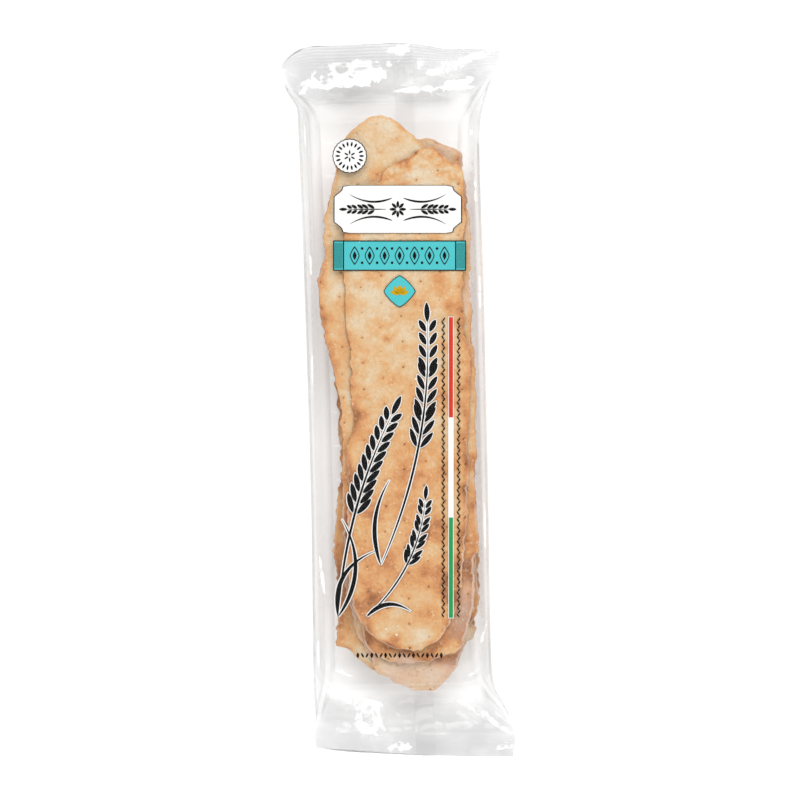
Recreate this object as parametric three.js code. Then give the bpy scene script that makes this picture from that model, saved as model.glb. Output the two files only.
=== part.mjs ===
// A clear film bag, heat-sealed round a shallow tray with a stack of long crisp flatbreads.
// It lies on its back with the flatbreads up. X runs across the bag, Y along it and Z up, in
// millimetres. The origin is under the middle of the bag's box, on the surface that carries it.
import * as THREE from "three";

const { clamp, lerp, smoothstep } = THREE.MathUtils;

// The tray inside, which gives the bag its flat back, straight sides and rounded corners.
const TRAY_LENGTH = 334;
const TRAY_MIDDLE = 4;
const TRAY_CORNER = 15;
const RIM_HEIGHT = 28;
const WALL_LEAN = 8;
const END_LEAN = 15;

// The stack of flatbreads, which lifts the film above the rim.
const STACK_LENGTH = 318;
const STACK_WIDTH = 84;
const STACK_MIDDLE = 3;
const STACK_HEIGHT = 33.5;
const FILM_DRAPE = 11;

// The crimped seal across each end: both layers of film pressed into ridges.
const SEAL_START = 188;
const SEAL_HEIGHT = 13;
const SEAL_THICKNESS = 1.2;
const SEAL_RIDGES = 5;
const RIDGE_DEPTH = 0.45;
const END_DROOP = 1.5;

// Rounding of the film where it turns from the back to a side, and from a side to the top.
const BACK_ROUNDING = 5;
const RIM_ROUNDING = 3;

// The bag's two edges, as [place along the bag, left edge, right edge]. Both ends flare,
// because the sides of the film tube lie flat in the seals.
const EDGES = [
  [-201, -50, 60.5],
  [-188, -50.8, 62],
  [-175, -51, 58.5],
  [-163, -51.5, 52.5],
  [-150, -51.5, 50.3],
  [-60, -50.4, 50.6],
  [60, -51, 51],
  [130, -52, 50.6],
  [155, -52.5, 51.5],
  [166, -53, 54],
  [176, -57.5, 56.5],
  [188, -60.5, 61],
  [201, -60, 63.5],
];

// The two cut ends of the film, as [place across the bag, place along it].
const HEAD_CUT = [
  [-60.5, 191],
  [-50, 199.5],
  [-30, 200.8],
  [0, 201.5],
  [20, 200],
  [31, 197.3],
  [63.5, 197],
];
const FOOT_CUT = [
  [-51, -194],
  [-28, -197],
  [0, -199],
  [30, -200.5],
  [62, -201.5],
];

// How finely the surface is divided.
const BODY_STEPS = 24;
const SHOULDER_STEPS = 11;
const RIDGE_STEPS = 4;
const TOP_STEPS = 22;
const BACK_STEPS = 3;

// A smooth line through the rows of a table: the value in a column at a place along it.
function through(rows, place, column = 1) {
  const at = clamp(place, rows[0][0], rows[rows.length - 1][0]);
  const span = Math.max(rows.findIndex((row) => row[0] >= at) - 1, 0);
  const slope = (k) => {
    const before = rows[Math.max(k - 1, 0)];
    const after = rows[Math.min(k + 1, rows.length - 1)];
    return (after[column] - before[column]) / (after[0] - before[0]);
  };
  const [from, to] = [rows[span], rows[span + 1]];
  const width = to[0] - from[0];
  const t = (at - from[0]) / width;
  const blend = t * t * (3 - 2 * t);
  const start = t * (1 - t) * (1 - t) * width * slope(span);
  const end = t * t * (t - 1) * width * slope(span + 1);
  return lerp(from[column], to[column], blend) + start + end;
}

// How far a place is on its way from the end of the tray to the start of the seal, 0 to 1.
// The tray's rounded corners let the film start down sooner near the sides.
function reach(x, y, endInset) {
  const side = Math.sign(y - TRAY_MIDDLE);
  const trayEnd = TRAY_MIDDLE + side * (TRAY_LENGTH / 2 - endInset);
  const halfWidth = (through(EDGES, 0, 2) - through(EDGES, 0, 1)) / 2;
  const intoCorner = clamp(Math.abs(x) - (halfWidth - TRAY_CORNER), 0, TRAY_CORNER);
  const cornerDrop = TRAY_CORNER - Math.sqrt(TRAY_CORNER ** 2 - intoCorner ** 2);
  const start = Math.abs(trayEnd) - cornerDrop;
  return clamp((Math.abs(y) - start) / (SEAL_START - start), 0, 1);
}

// The ridges and the droop of the seals, added to both faces of the film.
function sealWave(y) {
  const depth = Math.abs(y) - SEAL_START;
  const length = EDGES[EDGES.length - 1][0] - SEAL_START;
  const share = clamp(depth / length, 0, 1);
  return RIDGE_DEPTH * Math.sin(2 * Math.PI * SEAL_RIDGES * share) - END_DROOP * share ** 2;
}

// Height of the film over the tray, the stack and the shoulders.
function topHeight(x, y) {
  const overStack = Math.min(
    STACK_WIDTH / 2 - Math.abs(x - STACK_MIDDLE),
    STACK_LENGTH / 2 - Math.abs(y),
  );
  const lift = (STACK_HEIGHT - RIM_HEIGHT) * smoothstep(overStack, -FILM_DRAPE, FILM_DRAPE);
  const down = smoothstep(reach(x, y, 0), 0, 1);
  return lerp(RIM_HEIGHT + lift, SEAL_HEIGHT + SEAL_THICKNESS / 2, down) + sealWave(y);
}

// Height of the film under the tray and the shoulders.
function backHeight(y) {
  const up = smoothstep(reach(0, y, END_LEAN), 0, 1);
  return lerp(0, SEAL_HEIGHT - SEAL_THICKNESS / 2, up) + sealWave(y) * up;
}

// Three points that round a corner of a section, between its two neighbours.
function rounded(corner, before, after, radius) {
  const towards = (other) => {
    const step = other.clone().sub(corner);
    return corner.clone().addScaledVector(step, Math.min(radius / step.length(), 0.45));
  };
  const [start, end] = [towards(before), towards(after)];
  const middle = start.clone().add(end).multiplyScalar(0.25).addScaledVector(corner, 0.5);
  return [start, middle, end];
}

// The points between two points, worked out by a function of the share of the way.
function between(steps, pointAt) {
  return Array.from({ length: steps - 1 }, (_, i) => pointAt((i + 1) / steps));
}

// One closed section across the bag, anticlockwise as seen from its foot: back, right side,
// top and left side. Vector2 holds the place across and the height.
function sectionAt(y) {
  const left = through(EDGES, y, 1);
  const right = through(EDGES, y, 2);
  const back = backHeight(y);
  const lean = WALL_LEAN * (1 - smoothstep(reach(0, y, END_LEAN), 0, 1));
  const backLeft = new THREE.Vector2(left + lean, back);
  const backRight = new THREE.Vector2(right - lean, back);
  const topRight = new THREE.Vector2(right, topHeight(right, y));
  const topLeft = new THREE.Vector2(left, topHeight(left, y));
  const tall = Math.min(topLeft.y, topRight.y) - back;
  const backRadius = Math.min(BACK_ROUNDING, tall * 0.4);
  const rimRadius = Math.min(RIM_ROUNDING, tall * 0.3);
  const across = (share) => {
    const x = lerp(right, left, share);
    return new THREE.Vector2(x, topHeight(x, y));
  };
  return [
    ...rounded(backRight, backLeft, topRight, backRadius),
    ...rounded(topRight, backRight, topLeft, rimRadius),
    ...between(TOP_STEPS, across),
    ...rounded(topLeft, topRight, backLeft, rimRadius),
    ...rounded(backLeft, topLeft, backRight, backRadius),
    ...between(BACK_STEPS, (share) => backLeft.clone().lerp(backRight, share)),
  ];
}

// In the seals a section is bent to follow the cut end, which isn't square to the bag.
function placeAlong(x, y) {
  const depth = Math.abs(y) - SEAL_START;
  if (depth <= 0) return y;
  const cut = Math.abs(through(y > 0 ? HEAD_CUT : FOOT_CUT, x));
  const square = EDGES[EDGES.length - 1][0];
  const share = depth / (square - SEAL_START);
  return Math.sign(y) * lerp(SEAL_START, cut, share);
}

// The places along the bag where a section is taken.
function stations() {
  const bodyEnd = TRAY_LENGTH / 2 - END_LEAN;
  const bagEnd = EDGES[EDGES.length - 1][0];
  const stops = [-bagEnd, -SEAL_START, -bodyEnd, bodyEnd, SEAL_START, bagEnd];
  const sealSteps = SEAL_RIDGES * RIDGE_STEPS;
  const steps = [sealSteps, SHOULDER_STEPS, BODY_STEPS, SHOULDER_STEPS, sealSteps];
  const places = steps.flatMap((count, i) =>
    Array.from({ length: count }, (_, k) => lerp(stops[i], stops[i + 1], k / count)),
  );
  return [...places, bagEnd];
}

// Skins a row of sections that all have the same number of points, and closes both ends.
function loft(sections) {
  const around = sections[0].length;
  const faces = [];
  for (let row = 0; row < sections.length - 1; row++) {
    for (let i = 0; i < around; i++) {
      const next = (i + 1) % around;
      const [a, b] = [row * around + i, row * around + next];
      faces.push(a, b + around, b, a, a + around, b + around);
    }
  }
  const last = (sections.length - 1) * around;
  const flat = (section) => section.map((p) => new THREE.Vector2(p.x, p.z));
  for (const [a, b, c] of THREE.ShapeUtils.triangulateShape(flat(sections[0]), [])) {
    faces.push(a, b, c);
  }
  const end = sections[sections.length - 1];
  for (const [a, b, c] of THREE.ShapeUtils.triangulateShape(flat(end), [])) {
    faces.push(last + a, last + c, last + b);
  }
  return new THREE.BufferGeometry().setFromPoints(sections.flat()).setIndex(faces);
}

// The whole sealed bag: film, tray and stack as one closed solid.
function sealedBag() {
  const sections = stations().map((y) =>
    sectionAt(y).map((p) => new THREE.Vector3(p.x, placeAlong(p.x, y), p.y)),
  );
  const geometry = loft(sections);
  geometry.computeBoundingBox();
  const middle = geometry.boundingBox.getCenter(new THREE.Vector3());
  geometry.translate(-middle.x, -middle.y, 0);
  geometry.computeVertexNormals();
  const looks = new THREE.MeshStandardMaterial({
    color: 0xe3c7a4,
    roughness: 0.3,
    metalness: 0,
  });
  const bag = new THREE.Mesh(geometry, looks);
  bag.name = "sealed_bag";
  return bag;
}

const part = new THREE.Group();
part.add(sealedBag());

export default part;
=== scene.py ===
import math

import bpy
import numpy as np
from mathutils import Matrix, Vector


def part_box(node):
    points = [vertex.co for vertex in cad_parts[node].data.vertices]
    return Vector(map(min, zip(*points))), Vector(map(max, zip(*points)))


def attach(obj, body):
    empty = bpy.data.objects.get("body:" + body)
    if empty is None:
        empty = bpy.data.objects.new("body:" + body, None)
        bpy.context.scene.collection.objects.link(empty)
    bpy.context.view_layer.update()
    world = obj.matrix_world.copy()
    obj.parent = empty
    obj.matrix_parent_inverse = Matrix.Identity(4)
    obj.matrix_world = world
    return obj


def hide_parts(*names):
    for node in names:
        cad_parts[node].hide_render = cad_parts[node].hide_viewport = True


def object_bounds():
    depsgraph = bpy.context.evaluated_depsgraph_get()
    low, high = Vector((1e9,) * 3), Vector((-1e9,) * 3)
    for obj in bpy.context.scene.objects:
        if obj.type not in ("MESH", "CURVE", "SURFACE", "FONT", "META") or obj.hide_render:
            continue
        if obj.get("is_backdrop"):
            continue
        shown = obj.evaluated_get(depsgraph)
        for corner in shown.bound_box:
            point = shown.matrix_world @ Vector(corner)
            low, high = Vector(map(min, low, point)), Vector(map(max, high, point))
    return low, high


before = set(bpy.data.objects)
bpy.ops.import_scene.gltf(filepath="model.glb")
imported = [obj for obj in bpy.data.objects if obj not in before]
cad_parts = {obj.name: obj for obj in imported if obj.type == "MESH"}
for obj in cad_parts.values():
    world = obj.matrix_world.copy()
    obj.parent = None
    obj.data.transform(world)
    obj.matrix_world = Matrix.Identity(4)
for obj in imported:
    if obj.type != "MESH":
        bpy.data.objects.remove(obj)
cad_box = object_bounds()


# The tray. A shallow clear tray drawn from a sheet of plastic 0.4 mm thick: a ribbed floor,
# leaning walls with shallow flutes, rounded corners and a narrow flat rim turned down at its
# lip.
TRAY_LENGTH = 332.0
TRAY_WIDTH = 100.0
TRAY_MIDDLE = 4.0
TRAY_CORNER = 15.0
TRAY_FLOOR = 0.9
FLOOR_BEND = 3
TRAY_RIM = 27.2
TRAY_SHEET = 0.4
RIM_WIDTH = 3.6
WALL_LEAN = 4.6
FLUTE_PITCH = 5.2
FLUTE_DEPTH = 0.35
FLOOR_RIB_PITCH = 19.0
FLOOR_RIB_HEIGHT = 0.7

# Here and below, millimetres count across from the tray's middle line, which is HEAD_CORNER
# in from the bag's widest corner, and along from the bag's middle.
MM = 0.001
HEAD_CORNER = 63.5
bag_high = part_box("sealed_bag")[1]
tray_x = bag_high.x / MM - HEAD_CORNER


def net(rows, columns, closed=False, ends=0):
    """Four-sided faces over a net of points, joined round its columns if it is a tube. ends
    counts the ends of the tube that one face fills, its first row before its last."""
    corner = np.arange(rows * columns).reshape(rows, columns)
    filled = [corner[0, ::-1].tolist(), corner[-1].tolist()][:ends]
    if closed:
        corner = np.hstack([corner, corner[:, :1]])
    around = [corner[:-1, :-1], corner[:-1, 1:], corner[1:, 1:], corner[1:, :-1]]
    return np.stack(around, -1).reshape(-1, 4).tolist() + filled


def piece(name, points, faces, finish, slot, marks=None):
    """One piece of the pack, from points in millimetres. marks are named numbers, one for
    each point, that its finish can read."""
    placed = (np.asarray(points, float).reshape(-1, 3) + [tray_x, 0, 0]) * MM
    mesh = bpy.data.meshes.new(name)
    mesh.from_pydata(placed.tolist(), [], faces)
    mesh.materials.append(finish)
    mesh.shade_smooth()
    for mark, values in (marks or {}).items():
        attribute = mesh.attributes.new(mark, "FLOAT", "POINT")
        attribute.data.foreach_set("value", np.ravel(values).astype(np.float32))
    made = bpy.data.objects.new(name, mesh)
    bpy.context.scene.collection.objects.link(made)
    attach(made, "root")
    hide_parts("sealed_bag")
    return made


def rounded_box(half_width, half_length, corner, straight, bend):
    """Points round a rectangle with round corners, the same number for any size."""
    arcs = []
    for turn, sides in enumerate([(1, 1), (-1, 1), (-1, -1), (1, -1)]):
        middle = np.array(sides) * [half_width - corner, half_length - corner]
        angle = math.pi / 2 * (turn + np.arange(bend + 1) / bend)
        arcs.append(middle + corner * np.stack([np.cos(angle), np.sin(angle)], -1))
    runs = []
    for arc, following, steps in zip(arcs, arcs[1:] + arcs[:1], [straight // 4, straight] * 2):
        share = np.arange(1, steps)[:, None] / steps
        runs += [arc, arc[-1] + (following[0] - arc[-1]) * share]
    return np.vstack(runs)


class Value:
    """A socket that can stand in sums. Each operator adds its Math node."""

    def __init__(self, look, socket):
        self.look = look
        self.socket = socket

    def math(self, operation, *others, **settings):
        terms = dict(enumerate([self, *others]))
        return self.look.node("ShaderNodeMath", {"operation": operation, **settings}, terms)

    def __add__(self, other):
        return self.math("ADD", other)

    def __sub__(self, other):
        return self.math("SUBTRACT", other)

    def __rsub__(self, other):
        return (self * -1.0).math("ADD", other)

    def __mul__(self, other):
        return self.math("MULTIPLY", other)

    def __truediv__(self, other):
        return self.math("DIVIDE", other)

    __radd__ = __add__
    __rmul__ = __mul__

    def step(self, low, high):
        """0 below low, 1 above high and an even rise between."""
        return ((self - low) / (high - low)).math("MULTIPLY", 1.0, use_clamp=True)


class Look:
    """A finish: one material and the nodes that make it."""

    def __init__(self, name):
        self.material = bpy.data.materials.new(name)
        self.material.use_nodes = True
        self.tree = self.material.node_tree
        self.tree.nodes.clear()
        self.place = self.node("ShaderNodeTexCoord", out="Object")

    def node(self, kind, settings=None, inputs=None, out=0):
        """Adds a node: its settings first, then what its sockets hold or are joined to."""
        made = self.tree.nodes.new(kind)
        for name, value in (settings or {}).items():
            if name == "stops":
                ramp = made.color_ramp.elements
                while len(ramp) < len(value):
                    ramp.new(0.5)
                for stop, (position, color) in zip(ramp, value):
                    stop.position = position
                    stop.color = (*color, 1.0)
            else:
                setattr(made, name, value)
        for name, value in (inputs or {}).items():
            if isinstance(value, Value):
                self.tree.links.new(value.socket, made.inputs[name])
            else:
                made.inputs[name].default_value = value
        return Value(self, made.outputs[out] if made.outputs else None)

    def noise(self, size, detail=2.0, roughness=0.5, stretch=(1.0, 1.0, 1.0)):
        """Soft unevenness from 0 to 1, with spots about size millimetres across."""
        sockets = {0: self.place, 1: stretch}
        place = self.node("ShaderNodeVectorMath", {"operation": "MULTIPLY"}, sockets)
        grain = {"Scale": 1 / (size * MM), "Detail": detail, "Roughness": roughness}
        return self.node("ShaderNodeTexNoise", None, {"Vector": place, **grain})

    def mark(self, name):
        """A number stored at the points of the piece."""
        return self.node("ShaderNodeAttribute", {"attribute_name": name}, out="Fac")

    def blend(self, share, first, second):
        """One colour fading into another."""
        colors = [(*color, 1.0) if isinstance(color, tuple) else color for color in (first, second)]
        inputs = {"Factor": share, 6: colors[0], 7: colors[1]}
        return self.node("ShaderNodeMix", {"data_type": "RGBA"}, inputs, out=2)

    def bump(self, height, strength, depth):
        """A normal tilted by a height from 0 to 1 that stands for depth millimetres."""
        inputs = {"Height": height, "Strength": strength, "Distance": depth * MM}
        return self.node("ShaderNodeBump", None, inputs)

    def surface(self, color, roughness, others):
        """An opaque surface. others are its further sockets."""
        inputs = {"Base Color": color, "Roughness": roughness, **others}
        return self.node("ShaderNodeBsdfPrincipled", None, inputs)

    def over(self, share, under, upper):
        """Two surfaces mixed. share is how far the upper one hides the one under it."""
        return self.node("ShaderNodeMixShader", None, {0: share, 1: under, 2: upper})

    def finish(self, shader):
        """Joins a shader to the output and gives the material."""
        self.node("ShaderNodeOutputMaterial", None, {"Surface": shader})
        return self.material


def clear_plastic(name, clear_tint, dull_tint, dullness, veil_and_painted_highlights, sheen, shine, roughness, ripple):
    """Clear plastic: what is behind it, greyer where it is dulled, a thin milky coat and a shine
    that grows edge on. On the film the milky coat also paints highlights and the dulling paints shade
    and light. The shares for dulling, the milky coat and the sheen each run from 0 to 1. ripple is
    how wide, strong and deep the sheet's own unevenness is."""
    look = Look(name)
    width, strength, depth = ripple
    relief = look.bump(look.noise(width, 3.0), strength, depth)
    clear, dull = (
        look.node("ShaderNodeBsdfTransparent", None, {"Color": (*tint, 1.0)})
        for tint in (clear_tint, dull_tint)
    )
    behind = look.over(dullness(look), clear, dull)
    # A white coat: a milky haze, and on the film also painted highlights.
    milk_and_painted_highlights = look.surface((0.82, 0.82, 0.82, 1.0), 0.6, {"IOR": 1.3})
    seen = look.over(veil_and_painted_highlights(look), behind, milk_and_painted_highlights)
    polish = {"Metallic": 1.0, "Normal": relief}
    mirror = look.surface((1.0, 1.0, 1.0, 1.0), roughness, polish)
    edge_on = {"Blend": 0.5, "Normal": relief}
    slant = look.node("ShaderNodeLayerWeight", None, edge_on, out="Facing")
    return look.finish(look.over(slant * slant * shine + sheen(look), seen, mirror))


def wall_dullness(look):
    """The sheet is a little duller in its leaning walls, where it was drawn thin."""
    height = look.node("ShaderNodeSeparateXYZ", None, {0: look.place}, out=2)
    return height.step(TRAY_FLOOR * MM, (TRAY_FLOOR + 4) * MM) * 0.4


tray_finish = clear_plastic(
    "clear_tray",
    clear_tint=(0.999, 1.0, 0.999),
    dull_tint=(0.95, 0.952, 0.95),
    dullness=wall_dullness,
    veil_and_painted_highlights=lambda look: look.noise(9.0) * 0.006 + 0.002,
    sheen=lambda look: look.noise(30.0, 1.0) * 0.006 + 0.01,
    shine=0.2,
    roughness=0.09,
    ripple=(14.0, 0.25, 0.6),
)

# Steps of the tray's section from the middle of its floor to the lip, as (distance in from
# the outer edge of the rim, height, how strongly the flutes show).
wall_foot = RIM_WIDTH + WALL_LEAN
floor_insets = (TRAY_WIDTH / 2 - 0.6, 32, 20, wall_foot + 8, wall_foot + 4, wall_foot + FLOOR_BEND)
tray_steps = [(inset, TRAY_FLOOR, 0) for inset in floor_insets]
for i in range(1, 5):
    bend = math.pi / 2 * i / 4
    inset = wall_foot + FLOOR_BEND * (1 - math.sin(bend))
    tray_steps.append((inset, TRAY_FLOOR + FLOOR_BEND * (1 - math.cos(bend)), 0.3 * i / 4))
wall_low, wall_high = TRAY_FLOOR + FLOOR_BEND, TRAY_RIM - 1
for i in range(1, 13):
    share = i / 12
    height = wall_low + (wall_high - wall_low) * share
    tray_steps.append((wall_foot - WALL_LEAN * share, height, math.sin(math.pi * share) ** 0.5))
rim_steps = [(RIM_WIDTH - 0.3, 0.3), (RIM_WIDTH - 0.9, 0), (1.6, 0), (0.5, 0), (0.1, 0.4), (0, 1.4)]
tray_steps += [(inset, TRAY_RIM - drop, 0) for inset, drop in rim_steps]

tray_rings = []
for inset, height, flute in tray_steps:
    half_width, half_length = TRAY_WIDTH / 2 - inset, TRAY_LENGTH / 2 - inset
    corner = max(min(TRAY_CORNER - inset * 0.6, half_width - 0.3), 0.3)
    ring = rounded_box(half_width, half_length, corner, straight=260, bend=12)
    along = np.where(np.abs(ring[:, 0]) > half_width - 1, ring[:, 1], ring[:, 0])
    push = FLUTE_DEPTH * flute * np.clip(np.sin(2 * math.pi * along / FLUTE_PITCH) * 3, -1, 1)
    corner_middle = np.array([half_width - corner, half_length - corner])
    outward = ring - np.clip(ring, -corner_middle, corner_middle)
    outward /= np.maximum(np.linalg.norm(outward, axis=1), 1e-6)[:, None]
    ring = ring + outward * push[:, None]
    rib = np.clip(np.sin(2 * math.pi * ring[:, 1] / FLOOR_RIB_PITCH) * 4, -1, 1)
    on_floor = inset > wall_foot + FLOOR_BEND + 0.5
    ribbed = height + FLOOR_RIB_HEIGHT * (0.5 + 0.5 * rib) * on_floor
    tray_rings.append(np.column_stack([ring[:, 0], ring[:, 1] + TRAY_MIDDLE, ribbed]))
tray_net = np.array(tray_rings)
tray_faces = net(*tray_net.shape[:2], closed=True, ends=1)
tray = piece("tray", tray_net, tray_faces, tray_finish, "tray")
sheet = tray.modifiers.new("sheet", "SOLIDIFY")
sheet.thickness = TRAY_SHEET * MM
sheet.offset = 0


# The flatbreads. Long tongues of thin dough, pricked all over by a roller of pins, baked
# until they blister and brown, and stacked in the tray. Each has its own uneven outline,
# ragged edge, blisters and bake, and the two on top show most of the face.
BREAD_WIDTH = 86
BREAD_THICKNESS = 2.5
EDGE_SHARE = 0.42
STACK_FLOOR = 3.3
STACK_PITCH = 3.82
PIN_ACROSS = (11.2, 5.4)
PIN_ALONG = 14.3
PIN_START = (3.4, 4.0)
PIN_WANDER = 0.75
PIN_RADIUS = 0.58
PIN_DEPTH = 0.9
DIMPLE_RADIUS = 2.6
DIMPLE_DEPTH = 0.22
BLISTERS = 46
BLISTER_RADIUS = (2.2, 8.5)
RIM_BROWNS = 0.26
CROWN_BROWNS = 0.28
DIMPLE_BROWNS = 0.1
CELLS = 61
FAR_CELL = 700.0

# Layers of unevenness: in the face, where it is crumbly, in the bake and at the torn edges.
HILLS = [(0.42, 10, 7), (0.17, 3.6, 8), (0.09, 1.7, 9)]
CRUMBLED = [(0.42, 3.4, 19), (0.22, 1.5, 20)]
CRUMBS = [(0.2, 4.5, 21), (0.17, 1.8, 25)]
PATCHES = [(0.143, 23, 12), (0.091, 11, 13)]
NIBBLED = [(0.9, 5.0, 23), (0.5, 2.0, 24)]
TORN_EDGE = [(0.55, 5.3, 0), (0.35, 2.1, 40), (0.2, 1.1, 60)]


def swell(x, y, size, seed):
    """Smooth unevenness from -1 to 1, with hills about size millimetres across."""
    lattice = np.random.default_rng(seed).uniform(-1, 1, (CELLS, CELLS))
    u, v = np.asarray(x) / size + FAR_CELL, np.asarray(y) / size + FAR_CELL
    i, j = np.floor(u).astype(int), np.floor(v).astype(int)
    s, t = u - i, v - j
    s, t = s * s * (3 - 2 * s), t * t * (3 - 2 * t)
    near, far = (
        lattice[i % CELLS, k % CELLS] * (1 - s) + lattice[(i + 1) % CELLS, k % CELLS] * s
        for k in (j, j + 1)
    )
    return near * (1 - t) + far * t


def swells(x, y, seed, layers):
    """Layers of smooth unevenness added together, each (amount, size, step of the seed)."""
    return sum(amount * swell(x, y, size, seed + step) for amount, size, step in layers)


def rise(value, low, high):
    """0 below low, 1 above high and a smooth step between."""
    t = np.clip((value - low) / (high - low), 0, 1)
    return t * t * (3 - 2 * t)


def smooth_outline(corners, per_side=24):
    """A smooth closed line through a few points."""
    p = np.array(corners, float)
    t = np.linspace(0, 1, per_side, endpoint=False)[:, None]
    line = []
    for a, b, c, d in zip(np.roll(p, 1, 0), p, np.roll(p, -1, 0), np.roll(p, -2, 0)):
        curve = 2 * b + (c - a) * t + (2 * a - 5 * b + 4 * c - d) * t**2
        line.append(0.5 * (curve + (3 * b - a - 3 * c + d) * t**3))
    return np.vstack(line)


def sides_of(line, places):
    """Left and right edge of a closed line at places along the tray."""
    line = np.roll(line, -int(np.argmin(line[:, 1])), axis=0)
    head = int(np.argmax(line[:, 1]))
    found = []
    for chain in (line[: head + 1], np.vstack([line[head:], line[:1]])[::-1]):
        climb = np.maximum.accumulate(chain[:, 1]) + np.arange(len(chain)) * 1e-7
        found.append(np.interp(places, climb, chain[:, 0]))
    return np.minimum(*found), np.maximum(*found)


def rows_along(foot, head, gap):
    """Places from foot to head, closer together where both ends round off."""
    tip = 8.0
    steps = max(int(2 * tip / gap), 6)
    closing = tip * (np.arange(1, steps + 1) / steps) ** 2
    middle = np.arange(foot + tip, head - tip, gap)[1:]
    return np.concatenate([foot + closing, middle, head - closing[::-1]])


def strewn(places, x, y):
    """The sum of soft oval spots, each (across, along, half width, half length, amount)."""
    total = np.zeros(np.shape(x))
    for across, along, half_width, half_length, amount in places:
        away = ((x - across) / half_width) ** 2 + ((y - along) / half_length) ** 2
        total += amount * np.exp(-away)
    return total


def blister(x, y, radius, height, power):
    """A round rise of the face, from distances to its middle."""
    return height * np.clip(1 - (np.hypot(x, y) / radius) ** 2, 0, 1) ** power


def flatbread(
    name, level, outline, gap, bake, seed, flour=0.0, spots=(), lifts=(), torn=(), humps=(), dusted=()
):
    """One flatbread: its mesh with the browning, the flour and the pin holes marked on it.
    spots, lifts and dusted are places as (across, along, half width, half length, amount) of a
    change in browning, in some places painted shade and in others painted light, a rise of the sheet
    and more flour. torn is where the face turns crumbly towards the head, and humps are large
    blisters as (across, along, radius, height)."""
    rng = np.random.default_rng(seed)
    line = smooth_outline(outline)
    y = rows_along(line[:, 1].min() + 0.02, line[:, 1].max() - 0.02, gap)
    left, right = sides_of(line, y)
    ragged = np.clip((right - left) / 24, 0, 1) * (1.5 if level < 6 else 1.0)
    for side, step in ((left, 1), (right, 3)):
        chips = rise(swell(y, y * 0, 3.1, seed + step + 80), 0.35, 0.7)
        side += ragged * (swells(y, y * 0, seed + step, TORN_EDGE) - 0.5 * chips)
    columns = int(BREAD_WIDTH / gap)
    x = left[:, None] + (right - left)[:, None] * np.linspace(0, 1, columns + 1)
    along = np.repeat(y[:, None], columns + 1, 1)
    to_end = np.minimum(along - y[0], y[-1] - along)
    inward = np.minimum(np.minimum(x - left[:, None], right[:, None] - x), to_end * 1.3 + 0.1)

    # Warp of the whole sheet, then hills, blisters and pin holes in its upper face.
    warp = 0.45 * swell(x, along, 58, 11) + 0.3 * swell(x, along, 34, seed + 5)
    edge_curl = 0.25 * swell(x, along, 21, seed + 6) * (1 - rise(inward, 0, 9))
    sheet_middle = STACK_FLOOR + level * STACK_PITCH + warp + edge_curl + strewn(lifts, x, along)
    hills = swells(x, along, seed, HILLS)
    crumbly = np.zeros_like(x)
    if torn:
        crumbly = rise(along + 3 * swell(x, along, 7, seed + 18), *torn)
    hills += crumbly * swells(x, along, seed, CRUMBLED)
    puffed = np.zeros_like(x)
    for _ in range(BLISTERS):
        centre = rng.uniform([left.min(), y[0]], [right.max(), y[-1]])
        radius = rng.uniform(*BLISTER_RADIUS)
        height = rng.uniform(0.25, 0.9) * radius / BLISTER_RADIUS[1] + 0.12
        squeeze = rng.uniform(0.8, 1.3)
        puffed += blister((x - centre[0]) * squeeze, along - centre[1], radius, height, 2)
    puffed = np.minimum(puffed, 1.0)
    for hump_x, hump_y, radius, height in humps:
        puffed += blister(x - hump_x, along - hump_y, radius, height, 1.5)
    pins, dimple = np.zeros_like(x), np.zeros_like(x)
    for i in range(-5, 6):
        for j in range(-16, 17):
            grid = np.array([i * PIN_ACROSS[0], i * PIN_ACROSS[1] + j * PIN_ALONG])
            px, py = grid + PIN_START + rng.uniform(-PIN_WANDER, PIN_WANDER, 2)
            rows = slice(*np.searchsorted(y, [py - 6, py + 6]))
            away = np.hypot(x[rows] - px, along[rows] - py)
            depth = rng.uniform(0.5, 1.0)
            pins[rows] = np.maximum(pins[rows], depth * np.exp(-((away / PIN_RADIUS) ** 2)))
            dimple[rows] = np.maximum(dimple[rows], np.exp(-((away / DIMPLE_RADIUS) ** 2)))
    puffed *= 1 - 0.8 * dimple
    half_thick = BREAD_THICKNESS / 2 * (EDGE_SHARE + (1 - EDGE_SHARE) * rise(inward, -0.5, 6.5))
    half_thick *= 1 - 0.45 * crumbly
    pressed = PIN_DEPTH * pins + DIMPLE_DEPTH * dimple
    top = sheet_middle + half_thick + hills + puffed - pressed
    under = sheet_middle - half_thick + 0.6 * hills

    # Browning: the rim, the crowns of the blisters, broad uneven patches and the listed spots, of
    # which some are painted shade and some painted light. The flour lies on the pale rims and
    # wherever the bread was dusted.
    rim = 1 - rise(inward + 1.1 * swell(x, along, 6, seed + 10), 0.2, 5.5)
    browned = bake + RIM_BROWNS * rim + CROWN_BROWNS * puffed + DIMPLE_BROWNS * dimple
    browned += swells(x, along, seed, PATCHES) + crumbly * swells(x, along, seed, CRUMBS)
    drift_x, drift_y = 3 * swell(x, along, 13, seed + 14), 3 * swell(x, along, 13, seed + 15)
    browned += strewn(spots, x + drift_x, along + drift_y)
    pale_rim = 1 - rise(inward + 0.4 * swell(x, along, 2.5, seed + 16), 0.3, 1.2)
    pale_rim *= 0.25 + 0.55 * rise(-along, 10, 80) + 0.3 * swell(x, along, 8, seed + 22)
    powder = flour + 0.3 * swell(x, along, 9, seed + 17) * (flour > 0) + 0.8 * pale_rim
    powder += strewn(dusted, x + drift_x, along + drift_y)

    # One ring of points for each row: over the top, round the right edge, back underneath
    # and round the left edge.
    back = slice(None, None, -3)

    def ring(over, right_edge, beneath, left_edge):
        return np.hstack([over, right_edge, beneath[:, back], left_edge])

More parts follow.
